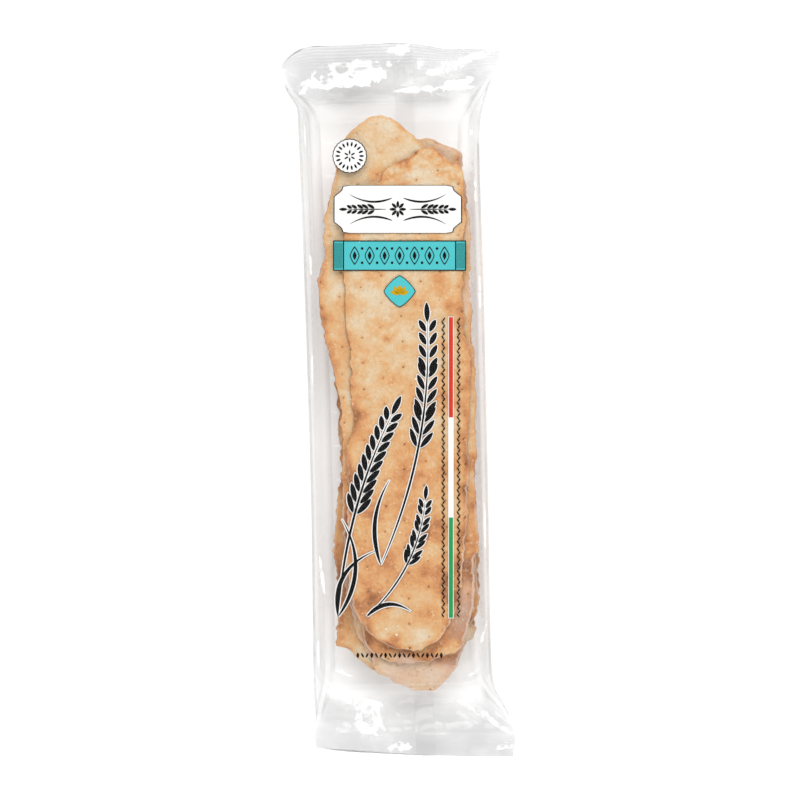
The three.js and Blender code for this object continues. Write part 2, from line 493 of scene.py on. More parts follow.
    ring_x = ring(x, right[:, None] + 0.35, x, left[:, None] - 0.35)
    ring_z = ring(top, (top + under)[:, -1:] / 2, under, (top + under)[:, :1] / 2)
    nibbled = swells(ring_x, 0, seed, NIBBLED) * (1 - rise(to_end[:, :1], 0, 12))
    points = np.stack([ring_x, y[:, None] + nibbled, ring_z], -1)
    rim_brown = np.full((len(y), 1), bake + 0.38)
    none = np.zeros((len(y), 1))
    marks = {
        "browned": ring(browned, rim_brown, np.clip(browned * 0.6 + 0.3, 0, 1), rim_brown),
        "pinned": ring(pins, none, pins * 0, none),
        "floury": ring(powder, powder[:, -1:], powder, powder[:, :1]),
    }
    faces = net(*ring_x.shape, closed=True, ends=2)
    piece(name, points, faces, bread_finish, "flatbread", marks)
    return {"x": x, "places": y, "top": top, "left": left, "right": right}


def flecks(look, scale, size, cluster, crowded):
    """Small round flecks in clusters. size and crowded are the ranges over which a fleck
    fades out and a cluster fades in."""
    inputs = {"Vector": look.place, "Scale": scale}
    fleck = look.node("ShaderNodeTexVoronoi", {"feature": "F1"}, inputs)
    return (1 - fleck.step(*size)) * look.noise(cluster, 1.0).step(*crowded)


def baked_dough():
    """Pale floury dough that turns gold and then brown, with darker pin holes, painted shade in the
    hollows of its fine relief and painted light on its crowns.
    """
    look = Look("baked_dough")
    browned, pinned, floury = look.mark("browned"), look.mark("pinned"), look.mark("floury")
    clouds, mottle = look.noise(13.0, 2.0, 0.45), look.noise(4.5, 3.0, 0.6)
    grain, pores_and_painted_light = look.noise(1.1, 3.0, 0.7), look.noise(2.1, 3.0, 0.6)
    # The browning mark brings in the painted shade and painted light of the listed spots.
    bake_and_painted_shade = browned + (clouds - 0.5) * 0.9 + (mottle - 0.5) * 0.5 + (grain - 0.5) * 0.4
    stops = [
        (0.0, (0.539, 0.448, 0.328)),
        (0.22, (0.53, 0.401, 0.259)),
        (0.42, (0.522, 0.328, 0.164)),
        (0.6, (0.509, 0.263, 0.107)),
        (0.78, (0.431, 0.185, 0.071)),
        (1.0, (0.241, 0.091, 0.033)),
    ]
    crust = look.node("ShaderNodeValToRGB", {"stops": stops}, {"Fac": bake_and_painted_shade})
    dusting = (floury * 1.3 + (mottle - 0.5) * 0.9 + (grain - 0.5) * 0.6).step(0.25, 1.1)
    crust = look.blend(dusting * 0.8, crust, (0.526, 0.388, 0.31))
    bubbles = flecks(look, 420.0, (0.12, 0.3), 6.0, (0.52, 0.62))
    crust = look.blend(bubbles * 0.55, crust, (0.62, 0.483, 0.31))
    husk = flecks(look, 300.0, (0.1, 0.22), 5.0, (0.53, 0.63))
    crust = look.blend(husk * 0.55, crust, (0.31, 0.129, 0.047))
    crust = look.blend((pinned * 1.2).step(0.2, 0.95), crust, (0.129, 0.052, 0.019))
    # Painted shade where the fine pore relief is low and painted light where it is high.
    crust = look.blend((0.47 - pores_and_painted_light).step(0.0, 0.2) * 0.3, crust, (0.345, 0.19, 0.086))
    crust = look.blend((pores_and_painted_light - 0.57).step(0.0, 0.16) * 0.3, crust, (0.638, 0.534, 0.388))
    relief = look.bump(grain * 0.8 + mottle * 0.6 + pores_and_painted_light * 0.9, 1.0, 0.6)
    others = {"Specular IOR Level": 0.25, "Normal": relief}
    return look.finish(look.surface(crust, 0.6 + 0.25 * grain, others))


bread_finish = baked_dough()

# Outlines as points round the bread, in millimetres across and along the tray. The lower
# three, which the others hide, are made from one outline drawn in and shifted a little.
LOWER_OUTLINE = [
    (0, 150), (18, 146), (34, 136), (39, 110), (38, 60), (40, 10), (39, -50), (40, -100), (36, -130),
    (22, -146), (4, -150), (-14, -146), (-29, -134), (-35, -100), (-33, -40), (-36, 10), (-38, 60),
    (-36, 110), (-30, 134), (-16, 146),
]
RIGHT_CORNER_OUTLINE = [
    (2, 143), (24, 139), (36, 128), (38, 96), (39, 40), (41, -10), (41.5, -60), (42, -104),
    (38.5, -124), (40.7, -128.4), (37.4, -135.5), (31.4, -142.8), (29, -150), (12, -154), (-8, -147),
    (-24, -132), (-31, -96), (-31, -40), (-33, 20), (-36, 70), (-33, 112), (-20, 136),
]
BROKEN_END_OUTLINE = [
    (0, 139), (22, 137), (35, 127), (40, 96), (41.5, 40), (42, -20), (42.3, -80), (42.8, -100.8),
    (43.9, -108.6), (43.2, -115.6), (38.4, -125.4), (24, -142), (4, -150), (-13, -151.6),
    (-24.4, -144.6), (-30.8, -138.4), (-36, -137.2), (-36.5, -133), (-36, -121.4), (-35.3, -107.9),
    (-35.9, -92.4), (-36.7, -85), (-36.3, -77), (-35, -60), (-33.3, -48.5), (-31, -20), (-33, 30),
    (-37, 74), (-34, 112), (-22, 134),
]
LONG_TIP_OUTLINE = [
    (2, 146.5), (14.6, 147.3), (25.7, 144.3), (35.4, 140.9), (38.7, 136.6), (39.5, 129.5), (41, 118),
    (40, 80), (41, 20), (41, -40), (40.5, -90), (39, -120), (34, -136), (29.6, -150), (25.6, -156),
    (18.6, -162.4), (8, -162.7), (2.2, -161), (-3.6, -158), (-7.4, -155.2), (-13.2, -152.8),
    (-17, -147), (-26, -128), (-31, -100), (-30, -50), (-30, 0), (-34, 50), (-35, 96), (-28, 130),
    (-14, 143),
]
SECOND_OUTLINE = [
    (-6.4, 160.3), (3, 157.2), (9, 151.6), (13.4, 147.6), (20, 142), (30, 134), (38, 120), (42.6, 100),
    (43.2, 88), (42.4, 70), (42.9, 50), (41.8, 34), (43.9, 28), (44.2, 10), (43.4, -12), (43, -24),
    (43.9, -31.4), (42.2, -36.6), (42.3, -48), (43, -58), (43.6, -70), (44.2, -80), (43.9, -86),
    (41.2, -88), (40.6, -102), (40.2, -112), (38, -123), (35.4, -132), (30.6, -141), (22, -143.6),
    (10, -147), (-4, -147), (-14, -142.6), (-20.6, -136.6), (-22, -130), (-23.6, -122), (-27, -112),
    (-30, -96), (-31.2, -70), (-31.6, -48), (-30.9, -33), (-30.7, -22), (-31.4, -13), (-31.2, -4.6),
    (-32.4, 5), (-35, 18.7), (-37.6, 32.3), (-41, 46), (-42.2, 59), (-42, 68.7), (-40.6, 76.6),
    (-38, 82), (-38, 92.7), (-37.3, 102.3), (-35.6, 111), (-33.5, 118.7), (-31.9, 126.4), (-29.2, 137),
    (-25, 147), (-19.6, 153.4), (-13.6, 158),
]
TOP_OUTLINE = [
    (23.2, 142), (30.7, 135.4), (38.4, 130), (40.2, 124), (40, 112), (40.6, 101), (39.4, 93),
    (38.6, 76), (39, 66), (38.2, 57), (38.6, 40), (39.4, 31), (41, 26), (41.2, 13), (40.2, -14),
    (39.4, -20), (38.9, -30), (39.6, -37), (38.6, -50.4), (37.8, -65.5), (36.4, -77.2), (34.8, -89),
    (33.6, -100), (31.4, -112), (27.2, -124.7), (22, -131.5), (16.4, -136.8), (8.5, -139.5),
    (0.7, -139.6), (-7.9, -136.9), (-16.5, -131.5), (-22.1, -124.6), (-25.9, -116.1), (-28.9, -105.9),
    (-30.2, -88), (-28.7, -71.7), (-28.6, -58), (-27.9, -42), (-28.6, -30), (-26.2, -21),
    (-23.6, -14.6), (-24.4, -2.8), (-25.1, 7.9), (-24.8, 24.2), (-26.4, 38.8), (-27.6, 61), (-27.6, 78),
    (-26.4, 96), (-22, 108), (-13, 116), (-6.4, 122.6), (-3.6, 129), (2.4, 133), (10.7, 137.2),
    (17, 140.6),
]

# Where the bake shows as darker or paler spots, some of them painted shade and painted light, where
# flour lies, where a sheet is bent up or down, and the large blisters at the right edge of the top one.
CORNER_SPOTS = [(38, -134, 8, 9, -0.6)]
BROKEN_END_SPOTS = [(-32, -108, 6, 24, 0.32), (-20, -146, 12, 7, -0.5), (-33, -134, 8, 8, -0.2)]
# The first two spots of the long tip are painted shadow where the second one's foot end overhangs it.
LONG_TIP_BAKE_AND_SHADE_SPOTS = [
    (20, -146, 7, 4, 0.45), (28, -150, 5, 6, 0.4), (4, -150, 14, 7, -0.1), (33, 140, 8, 6, -0.05),
    (37, 132, 3, 8, 0.15),
]
LONG_TIP_DUST = [(6, -154, 16, 9, 0.45), (30, 138, 12, 10, 0.15)]
LONG_TIP_LIFTS = [(8, -158, 26, 18, -0.6), (28, 142, 16, 12, 0.5)]
# Among the second one's spots: painted shadow in a dark crescent round the top one's tip, from (-18,
# -133) to (30, -122), in a line beside its left edge at (-28, 40) and in a band right of its edge at
# (35, -100); painted light in paler spots at (-31, 65), (-34, 92), (-20, 121) and (43, 0), where the
# top one and the print cast shadows on this one.
SECOND_BAKE_AND_SHADE_SPOTS = [
    (-37, 48, 6, 11, 0.2), (-31, 65, 5, 7, -0.16), (-31, 25, 6, 12, 0.04), (-29, -20, 5, 26, 0.02),
    (-29, -85, 6, 34, 0.26), (-7, 127, 8, 5, 0.24), (-14, 147, 16, 12, -0.2), (-20, 121, 11, 8, -0.3),
    (0, 140, 12, 6, -0.2), (-34, 92, 9, 24, -0.2), (35, -100, 7, 26, 0.45), (42, 70, 4, 30, -0.12),
    (42, -60, 4, 40, 0.12), (-28, 40, 3, 45, 0.1), (-18, -133, 7, 4, 0.45), (-8, -139, 8, 4, 0.5),
    (6, -142, 9, 4, 0.6), (18, -138, 7, 5, 0.6), (25, -131, 5, 6, 0.5), (30, -122, 4, 7, 0.4),
    (43, 0, 4, 120, -0.12),
]
SECOND_DUST = [(34, -120, 7, 18, 0.5), (8, -147, 24, 3, 0.6), (42, 60, 3, 60, 0.3)]
SECOND_LIFTS = [
    (45, 64, 6, 56, 1.5), (44, -20, 5, 30, 0.8), (0, -150, 40, 20, -0.9), (-6, 128, 12, 8, 0.4),
]
# The broad spot at (4, -88) is painted shade that darkens the foot half of the top one, where less
# light falls.
TOP_BAKE_AND_SHADE_SPOTS = [
    (14, 140, 10, 2.5, 0.2), (28, 125, 14, 10, -0.36), (4, 123, 8, 5, 0.1), (31, 61, 8, 8, 0.27),
    (2, 49, 13, 4, 0.1), (11, 46, 6, 5, 0.14), (37, 46, 4, 9, 0.22), (-18, 52, 8, 9, -0.1),
    (-6, 36, 6, 5, 0.1), (-15, 20, 7, 6, 0.08), (-20, -76, 7, 20, 0.12), (2, 11, 7, 5, 0.12),
    (13, 11, 5, 5, -0.14), (21, 6, 6, 6, 0.12), (18, -12, 9, 8, -0.12), (10, -1.5, 5, 4, 0.1),
    (-4, -15, 8, 6, 0.12), (2, -32, 8, 6, 0.22), (9, -44, 7, 5, 0.12), (21, -43, 7, 6, 0.12),
    (0, -59, 8, 5, 0.12), (16, -75, 6, 4, 0.24), (1, -70, 6, 5, 0.12), (-11, -68, 6, 6, 0.1),
    (36, -50, 4, 6, 0.3), (18, -67, 7, 4, -0.16), (37, -10, 4, 34, 0.14), (-20, -102, 10, 16, 0.3),
    (-24, -98, 3, 3, 0.14), (11, -87, 8, 6, -0.14), (-4, -120, 8, 6, -0.12), (14, -130, 7, 5, -0.1),
    (-10, -136, 12, 3, 0.4), (17, -136, 8, 3, 0.35), (30, -96, 5, 16, 0.16), (4, -42, 46, 50, 0.16),
    (14, 134, 14, 3, 0.15), (4, -88, 34, 30, 0.27), (16, 64, 18, 9, -0.12), (-4, 18, 16, 16, 0.14),
    (-20, -122, 8, 10, 0.25), (-8, -134, 12, 4, 0.35), (22, -123, 8, 10, 0.22), (29, -106, 6, 12, 0.2),
]
TOP_DUST = [(8, 126, 8, 7, 0.3), (24, 130, 9, 7, 0.25)]
TOP_LIFTS = [
    (4, -140, 30, 16, 0.5), (-2, 126, 8, 8, -0.8), (16, 137, 18, 7, -0.9), (-26, 40, 5, 60, -0.5),
]
HUMPS = [(34.5, 125, 3.2, 1.0), (31, 132, 1.8, 0.5), (27, 137, 2.2, 0.4), (-16, 2, 3, 0.3)]

for level in range(3):
    drawn_in = 0.965 + 0.01 * level
    shift = np.array([2.4 + 1.2 * (-1) ** level, 2.0 * (1.5 - level)])
    outline = np.array(LOWER_OUTLINE) * drawn_in + shift
    flatbread(f"flatbread_{level + 1}", level, outline, 1.7, 0.5, 100 + 20 * level)
flatbread("flatbread_4", 3, RIGHT_CORNER_OUTLINE, 1.2, 0.44, 210, 0.1, CORNER_SPOTS)
flatbread("flatbread_5", 4, BROKEN_END_OUTLINE, 1.2, 0.48, 240, 0.0, BROKEN_END_SPOTS)
tip_places = {"spots": LONG_TIP_BAKE_AND_SHADE_SPOTS, "lifts": LONG_TIP_LIFTS, "dusted": LONG_TIP_DUST}
flatbread("flatbread_6", 5, LONG_TIP_OUTLINE, 1.0, 0.4, 270, 0.45, **tip_places)
second_places = {"spots": SECOND_BAKE_AND_SHADE_SPOTS, "lifts": SECOND_LIFTS, "dusted": SECOND_DUST}
second = flatbread("flatbread_7", 6.12, SECOND_OUTLINE, 0.72, 0.39, 300, 0.05, **second_places)
top_places = {"spots": TOP_BAKE_AND_SHADE_SPOTS, "lifts": TOP_LIFTS, "dusted": TOP_DUST, "humps": HUMPS}
top = flatbread("flatbread_8", 7, TOP_OUTLINE, 0.6, 0.34, 330, torn=(116, 128), **top_places)


# Salt. Coarse sea salt sticks to the top faces of the two uppermost flatbreads as small
# milky grains with corners, strewn by hand and pressed in a little.
SALT_GRAINS = 120
LARGE_GRAINS = [(-9, -127.6, 1.2), (-3.4, -131, 1.0), (-27.4, -138.6, 0.9), (-26.5, 40, 0.8)]
BLOCK_SIDES = [(0, 2, 3, 1), (4, 5, 7, 6), (0, 1, 5, 4), (2, 6, 7, 3), (0, 4, 6, 2), (1, 3, 7, 5)]


def face_height(x, y):
    """Height of the upper face that shows at a place, or nothing beside both breads."""
    for bread in (top, second):
        row = int(np.argmin(np.abs(bread["places"] - y)))
        if bread["left"][row] + 1.5 < x < bread["right"][row] - 1.5:
            return float(np.interp(x, bread["x"][row], bread["top"][row]))
    return None


def salt_grain(rng, place, size):
    """A rough block with every corner a little off, turned any way."""
    corners = np.array([(x, y, z) for z in (-1, 1) for y in (-1, 1) for x in (-1, 1)], float)
    corners += rng.uniform(-0.28, 0.28, corners.shape)
    corners *= size / 2 * rng.uniform([0.8, 0.8, 0.5], [1.2, 1.2, 0.8])
    turn, tip = rng.uniform(0, 2 * math.pi), rng.uniform(-0.5, 0.5)
    c, s = math.cos(turn), math.sin(turn)
    turned = corners @ np.array([[c, -s, 0], [s, c, 0], [0, 0, 1]])
    c, s = math.cos(tip), math.sin(tip)
    return turned @ np.array([[1, 0, 0], [0, c, -s], [0, s, c]]) + place


def sea_salt():
    """Milky clear crystal with cloudy faces."""
    look = Look("sea_salt")
    cloud = look.noise(0.6)
    color = look.blend(cloud, (0.625, 0.563, 0.455), (0.554, 0.464, 0.348))
    return look.finish(look.surface(color, 0.15 + 0.4 * cloud, {"IOR": 1.54}))


salt_rng = np.random.default_rng(77)
grains = []
for x, y, size in LARGE_GRAINS:
    height = face_height(x, y)
    if height is not None:
        grains.append(salt_grain(salt_rng, [x, y, height + size * 0.1], size))
while len(grains) < SALT_GRAINS:
    x, y = salt_rng.uniform([-42, -140], [44, 158])
    height = face_height(x, y)
    size = 0.28 + 0.3 * salt_rng.uniform() + 0.5 * salt_rng.uniform() ** 9
    if height is not None:
        grains.append(salt_grain(salt_rng, [x, y, height + size * 0.12], size))
grain_faces = [[8 * k + i for i in side] for k in range(len(grains)) for side in BLOCK_SIDES]
salt = piece("salt", np.vstack(grains), grain_faces, sea_salt(), "salt")
salt.data.shade_flat()


# The film bag. One tube of clear film wrapped round the tray, joined by a flat seam down its
# back and closed across both ends by crimped heat seals. It is drawn tight over the stack and
# the rim, and creases sharply where it folds down over the tray's ends.
FILM_RIM = 28.0
WALL_LEAN_OUT = 8.0
END_LEAN = 15.0
STACK_LENGTH = 318.0
STACK_WIDTH = 84.0
STACK_MIDDLE = 3.0
FILM_CLEARANCE = 0.45
FILM_LEAST_LIFT = 3.0
FILM_SAG = 30.0
FILM_DRAPE = 11.0
COVER_PITCH = 2.0
COVER_CORNER = (-52, -164)
SEAL_START = 188.0
SEAL_END = 201.0
SEAL_HEIGHT = 13.0
SEAL_HALF = 0.16
SEAL_RIDGES = 7
RIDGE_DEPTH = 0.16
END_DROOP = 1.5
FILM_BACK = 0.4

# How finely the film is divided: round a corner, up a side, over the top and across the back,
# and along the bag as (place, rows from there to the next).
BEND_POINTS = 4
SIDE_POINTS = 9
TOP_POINTS = 118
BACK_POINTS = 44
STRETCHES = [(-SEAL_END, 64), (-SEAL_START, 50), (-148, 140), (152, 46), (SEAL_START, 64)]

# The bag's edges as (place along, left, right), and its two cut ends as (across, along).
BAG_EDGES = [
    (-201, -50, 60.5), (-188, -50.8, 62), (-175, -51, 58.5), (-163, -51.5, 52.5), (-150, -51.5, 50.3),
    (-60, -50.4, 50.6), (60, -51, 51), (130, -52, 50.6), (155, -52.5, 51.5), (166, -53.2, 54),
    (176, -58.8, 57.2), (188, -60.5, 61.6), (201, -60, 63.5),
]
HEAD_CUT = [(-60.5, 191), (-50, 199.5), (-30, 200.8), (0, 201.5), (20, 200), (31, 197.3), (63.5, 197)]
FOOT_CUT = [(-51, -194), (-28, -197), (0, -199), (30, -200.5), (62, -201.5)]


def through(rows, place, column=1):
    """A smooth line through the rows of a table: the value in a column at each place."""
    table = np.array(rows, float)
    places, values = table[:, 0], table[:, column]
    last = len(table) - 1
    at = np.clip(np.asarray(place, float), places[0], places[-1])
    span = np.clip(np.searchsorted(places, at) - 1, 0, last - 1)
    after, before = np.minimum(np.arange(last + 1) + 1, last), np.maximum(np.arange(last + 1) - 1, 0)
    slope = (values[after] - values[before]) / (places[after] - places[before])
    width = places[span + 1] - places[span]
    t = (at - places[span]) / width
    blend = t * t * (3 - 2 * t)
    start = t * (1 - t) ** 2 * width * slope[span]
    end = t * t * (t - 1) * width * slope[span + 1]
    return values[span] * (1 - blend) + values[span + 1] * blend + start + end


def reach(x, y, end_inset):
    """How far a place is on its way from the end of the tray to the seal, 0 to 1."""
    tray_end = TRAY_MIDDLE + np.sign(y - TRAY_MIDDLE) * (TRAY_LENGTH / 2 - end_inset)
    half_width = TRAY_WIDTH / 2 + 0.6
    into_corner = np.clip(np.abs(x) - (half_width - TRAY_CORNER), 0, TRAY_CORNER)
    corner_drop = TRAY_CORNER - np.sqrt(TRAY_CORNER**2 - into_corner**2)
    start = np.abs(tray_end) - corner_drop
    return np.clip((np.abs(y) - start) / (SEAL_START - start), 0, 1)


def cut_end(x, y):
    """How far from the bag's middle the nearer cut end is."""
    return np.where(y > 0, through(HEAD_CUT, x), -through(FOOT_CUT, x))


def seal_wave(x, y):
    """The ridges of a seal, pressed deeper in some places, and its droop towards the end."""
    share = np.clip((np.abs(y) - SEAL_START) / (SEAL_END - SEAL_START), 0, 1)
    ridges = np.sin(2 * math.pi * SEAL_RIDGES * share)
    room = np.clip((cut_end(x, y) - SEAL_START) / (SEAL_END - SEAL_START), 0, 1) ** 2
    pressed = 0.3 + 0.7 * rise(swell(x, np.sign(y) * 50, 17, 395), -0.2, 0.5)
    return room * (RIDGE_DEPTH * pressed * np.clip(ridges * 1.6, -1, 1) - END_DROOP * share**2)


def crease(x, y, start, end, height, width):
    """A fold in the film along a line, as a ridge that falls away on both sides."""
    (ax, ay), (bx, by) = start, end
    length = math.hypot(bx - ax, by - ay)
    ux, uy = (bx - ax) / length, (by - ay) / length
    along = ((x - ax) * ux + (y - ay) * uy) / length
    off = np.abs((x - ax) * -uy + (y - ay) * ux)
    taper = rise(along, -0.08, 0.12) * (1 - rise(along, 0.88, 1.08))
    return height * np.exp(-off / width) * taper


def crumple(x, y, size, seed):
    """Sharp creases in every direction, size millimetres apart, from -0.5 to 0.5."""
    u = x + 0.35 * size * swell(x, y, size * 1.3, seed + 1)
    v = y + 0.35 * size * swell(x, y, size * 1.3, seed + 2)
    return 0.5 - np.minimum(np.abs(swell(u, v, size, seed)) * 2.2, 1)


# Folds seen in the film, as (start, end, height, width): the pleats from the tray's corners
# to the corners of the bag, and the long tight ones beside the rim.
FOLDS = [
    ((-50, 168), (-60, 188), 2.2, 2.0), ((-46, 170), (-52, 190), -1.8, 1.6),
    ((-38, 172), (-30, 193), 1.9, 2.6), ((-22, 170), (-26, 196), -1.3, 2.0),
    ((-12, 172), (-4, 198), 1.8, 2.4), ((2, 170), (5, 196), -2.0, 1.1), ((6, 192), (30, 172), 1.5, 2.4),
    ((14, 196), (26, 186), -1.5, 1.6), ((30, 186), (63, 196), 1.9, 1.7),
    ((24, 180), (58, 191), -1.3, 1.5), ((0, 174), (46, 174), 1.4, 1.3),
    ((34, 183), (52, 178), 1.3, 1.5), ((46, 168), (62, 190), 1.6, 1.5),
    ((-48, 182), (-40, 170), 1.1, 1.1), ((-29, -166), (-22, -196), 2.2, 2.8),
    ((-18, -172), (-8, -194), -1.7, 1.8), ((-34, -168), (-40, -190), 1.2, 1.6),
    ((-44, -164), (-50, -186), -1.2, 1.3), ((30, -167), (62, -190), 2.1, 1.6),
    ((28, -172), (52, -192), -1.4, 1.4), ((8, -168), (6, -192), 1.0, 1.3),
    ((40, -162), (60, -182), 1.2, 1.2), ((18, -170), (22, -190), -1.0, 1.5),
    ((-4, -176), (2, -190), 1.0, 1.0),
]
SIDE_FOLDS = [
    ((46.2, 60), (43.2, 166), 0.5, 0.8), ((48.4, 90), (47.4, 168), -0.35, 0.7),
    ((44.6, -40), (47.0, 74), 0.3, 0.9), ((48.2, -150), (46.5, -60), 0.35, 0.8),
    ((-46.4, 20), (-44, 160), 0.45, 0.9), ((-48.6, -70), (-47.5, 60), 0.3, 0.8),
    ((-45.5, -162), (-46.6, -50), 0.4, 0.9), ((45, -158), (41, -100), 0.4, 0.8),
    ((-38, 164), (-18, 160), 0.35, 0.9), ((14, 163), (40, 160), 0.3, 0.9),
    ((38, 168), (43.6, 150), 0.5, 0.6), ((-20, -161), (34, -163), 0.4, 0.7),
]


def stack_cover():
    """A net of heights that clears the two uppermost flatbreads, as tight film would."""
    across = np.arange(COVER_CORNER[0], 53, COVER_PITCH)
    along = np.arange(COVER_CORNER[1], 165, COVER_PITCH)
    cover = np.zeros((len(along), len(across)))
    for bread in (top, second):
        for i, place in enumerate(along):
            if bread["places"][0] < place < bread["places"][-1]:
                row = int(np.argmin(np.abs(bread["places"] - place)))
                bare = {"left": 0.0, "right": 0.0}
                reached = np.interp(across, bread["x"][row], bread["top"][row], **bare)
                cover[i] = np.maximum(cover[i], reached)
    cover = np.where(cover > 0, cover, FILM_SAG)
    for gather in (np.max, np.max, np.mean, np.mean, np.mean):
        framed = np.pad(cover, 1, mode="edge")
        shifts = [(i, j) for i in range(3) for j in range(3)]
        cover = gather([framed[i : i + len(along), j : j + len(across)] for i, j in shifts], axis=0)
    return cover


cover_heights = stack_cover()


def cover_at(x, y):
    """The height of that net at any place."""
    rows, columns = cover_heights.shape
    u = np.clip((np.asarray(x) - COVER_CORNER[0]) / COVER_PITCH, 0, columns - 1.001)
    v = np.clip((np.asarray(y) - COVER_CORNER[1]) / COVER_PITCH, 0, rows - 1.001)
    j, i = np.floor(u).astype(int), np.floor(v).astype(int)
    s, t = u - j, v - i
    near, far = (cover_heights[k, j] * (1 - s) + cover_heights[k, j + 1] * s for k in (i, i + 1))
    return near * (1 - t) + far * t


def unpressed(y):
    """How much the creases still show: all of them up to the seals and a quarter within."""
    return 1 - 0.75 * rise(np.abs(y), SEAL_START - 2, SEAL_START + 1)


def film_top(x, y):
    """Height of the film over the stack, the rim, the folded shoulders and the seals."""
    over_width = STACK_WIDTH / 2 - np.abs(x - STACK_MIDDLE)
    over_stack = np.minimum(over_width, STACK_LENGTH / 2 - np.abs(y))
    above_rim = np.maximum(cover_at(x, y) + FILM_CLEARANCE - FILM_RIM, FILM_LEAST_LIFT)
    lift = above_rim * rise(over_stack, -FILM_DRAPE, FILM_DRAPE * 0.5)
    down = rise(reach(x, y, 0), 0, 1)
    height = (FILM_RIM + lift) * (1 - down) + (SEAL_HEIGHT + SEAL_HALF) * down + seal_wave(x, y)
    taut = 1 - rise(np.abs(y), 162, 172)
    height = height + taut * swells(x, y, 401, [(0.06, 19, 0), (0.03, 7, 1)])
    beside = np.maximum((1 - rise(over_width, -4, 6)) * taut, 0.35)
    slack = rise(reach(x, y, 2), 0.02, 0.3) * unpressed(y)
    for folds, give in ((SIDE_FOLDS, beside), (FOLDS, slack)):
        for fold in folds:
            height = height + crease(x, y, *fold) * give
    at_head = y > 0
    height = height + slack * np.where(at_head, 1.4, 0.9) * crumple(x, y, 16, 411)
    finer = slack * np.where(at_head, 0.9, 0.4)
    return height + finer * (0.7 * crumple(x, y, 7, 421) + 0.25 * crumple(x, y, 3.2, 431))


def film_back(x, y):
    """Height of the film under the tray, the shoulders and the seals."""
    up = rise(reach(np.zeros_like(x), y, END_LEAN), 0, 1)
    height = FILM_BACK * (1 - up) + (SEAL_HEIGHT - SEAL_HALF) * up + seal_wave(x, y) * up
    return height + up * unpressed(y) * (1.2 * crumple(x, y, 15, 441) + 0.5 * crumple(x, y, 6, 451))


def seal_shape(x, y):
    """Moves a row of the seal so that it follows the cut end, which isn't square."""
    depth = np.clip(np.abs(y) - SEAL_START, 0, None) / (SEAL_END - SEAL_START)
    cut = cut_end(x, y) + 0.25 * swell(x, y * 0, 4, 461)
    return np.where(depth > 0, np.sign(y) * (SEAL_START + (cut - SEAL_START) * depth), y)


def turned_corner(corner, before, after, radius):
    """Points round a corner of the film's section, between its two neighbours."""
    ends = []
    for other in (before, after):
        away = other - corner
        distance = np.linalg.norm(away, axis=-1, keepdims=True)
        ends.append(corner + away * np.minimum(radius / distance, 0.45))
    t = np.linspace(0, 1, BEND_POINTS)[:, None, None]
    return (1 - t) ** 2 * ends[0] + 2 * t * (1 - t) * corner + t**2 * ends[1]


def straight_run(start, end, count):
    """Evenly spaced points between two corners, without the corners."""
    t = np.linspace(0, 1, count + 2)[1:-1, None, None]
    return start + (end - start) * t


stops = [place for place, count in STRETCHES] + [SEAL_END]
film_rows = np.concatenate(
    [
        np.linspace(start, end, count, endpoint=False)
        for (start, count), end in zip(STRETCHES, stops[1:])
    ]
    + [[SEAL_END]]
)
left_edge, right_edge = through(BAG_EDGES, film_rows, 1), through(BAG_EDGES, film_rows, 2)
drawn_up = rise(reach(np.zeros_like(film_rows), film_rows, END_LEAN), 0, 1)
lean = WALL_LEAN_OUT * (1 - drawn_up)
back_right, top_right, top_left, back_left = film_corners = [
    np.stack([x, height(x, film_rows)], -1)
    for x, height in (
        (right_edge - lean, film_back), (right_edge, film_top),
        (left_edge, film_top), (left_edge + lean, film_back),
    )
]
tall = np.minimum(top_left[:, 1] - back_left[:, 1], top_right[:, 1] - back_right[:, 1])
back_bend = np.clip(tall * 0.4, 0.02, 5)[:, None]
rim_bend = np.clip(tall * 0.3, 0.02, 2.4)[:, None]
bends = [back_bend, rim_bend, rim_bend, back_bend]
counts = [SIDE_POINTS, TOP_POINTS, SIDE_POINTS, BACK_POINTS]
section = []
runs = []
for k in range(4):
    corner, following = film_corners[k], film_corners[(k + 1) % 4]
    section.append(turned_corner(corner, film_corners[k - 1], following, bends[k]))
    start = sum(len(points) for points in section)
    section.append(straight_run(corner, following, counts[k]))
    runs.append(slice(start, start + counts[k]))
section = np.concatenate(section).transpose(1, 0, 2)
right_run, top_run, left_run, back_run = runs
film_x, film_z = section[..., 0].copy(), section[..., 1].copy()
film_y = np.repeat(film_rows[:, None], section.shape[1], 1)
film_z[:, top_run] = film_top(film_x[:, top_run], film_y[:, top_run])
film_z[:, back_run] = film_back(film_x[:, back_run], film_y[:, back_run])
for run, side in ((right_run, 1), (left_run, -1)):
    height_share = (film_z[:, run] - FILM_BACK) / FILM_RIM
    bow = np.sin(math.pi * np.clip(height_share, 0, 1)) * (1 - drawn_up[:, None])
    sway = swells(film_y[:, run], film_z[:, run], 471, [(1, 24, 0), (0.5, 8, 1)])
    film_x[:, run] -= side * bow * (0.7 + 0.6 * sway)
film_y = seal_shape(film_x, film_y)

